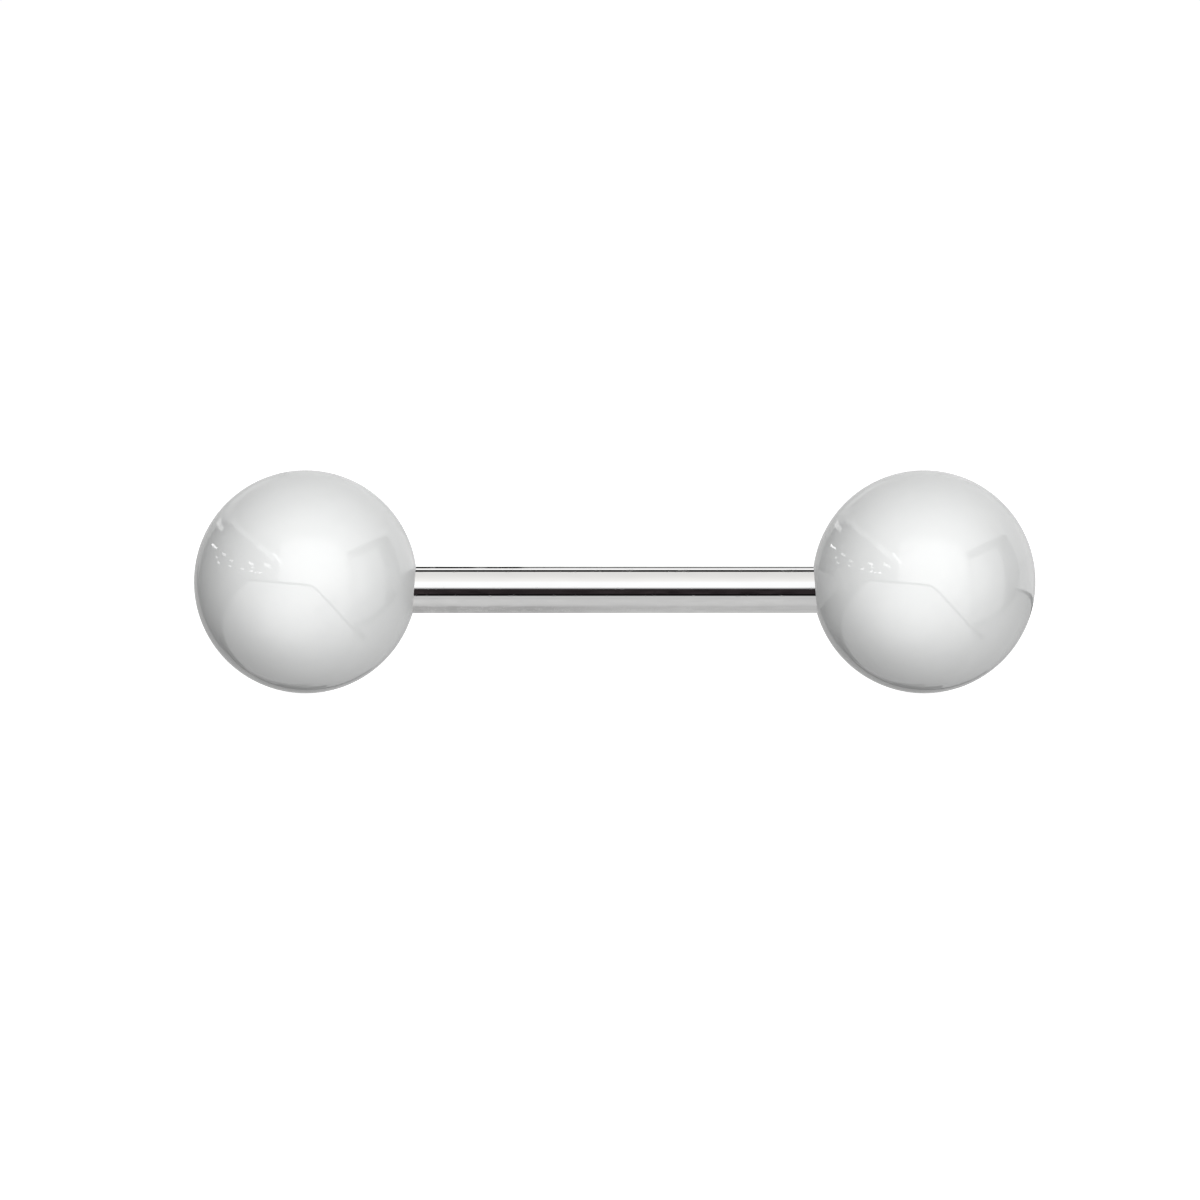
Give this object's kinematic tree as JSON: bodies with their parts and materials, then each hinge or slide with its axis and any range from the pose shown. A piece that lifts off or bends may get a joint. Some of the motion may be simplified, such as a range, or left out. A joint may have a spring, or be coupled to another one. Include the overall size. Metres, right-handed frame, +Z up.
{
  "type": "tongue barbell",
  "caption": "Straight barbell for a pierced tongue: a mirror-polished steel bar with a glossy white ball screwed onto the threaded stud at each end.",
  "frame": {"origin": "the middle of the barbell on the surface that it lies on: half way between the two balls, under the bar, level with the balls' lowest points", "axes": "+X along the bar towards ball_right, +Y across it away from the viewer, +Z up"},
  "size_m": [0.0298, 0.0078, 0.0079],
  "materials": {
    "polished_steel": "mirror-polished surgical steel",
    "white_acrylic": "glossy opaque white acrylic"
  },
  "bodies": {
    "bar": {"bar": "polished_steel"},
    "ball_left": {"ball_left": "white_acrylic"},
    "ball_right": {"ball_right": "white_acrylic"}
  },
  "joints": [
    {"name": "ball_left_off", "type": "slide", "parent": "bar", "child": "ball_left", "axis": [-1, 0, 0], "range_m": [0, 0.005]},
    {"name": "ball_right_off", "type": "slide", "parent": "bar", "child": "ball_right", "axis": [1, 0, 0], "range_m": [0, 0.005]}
  ]
}
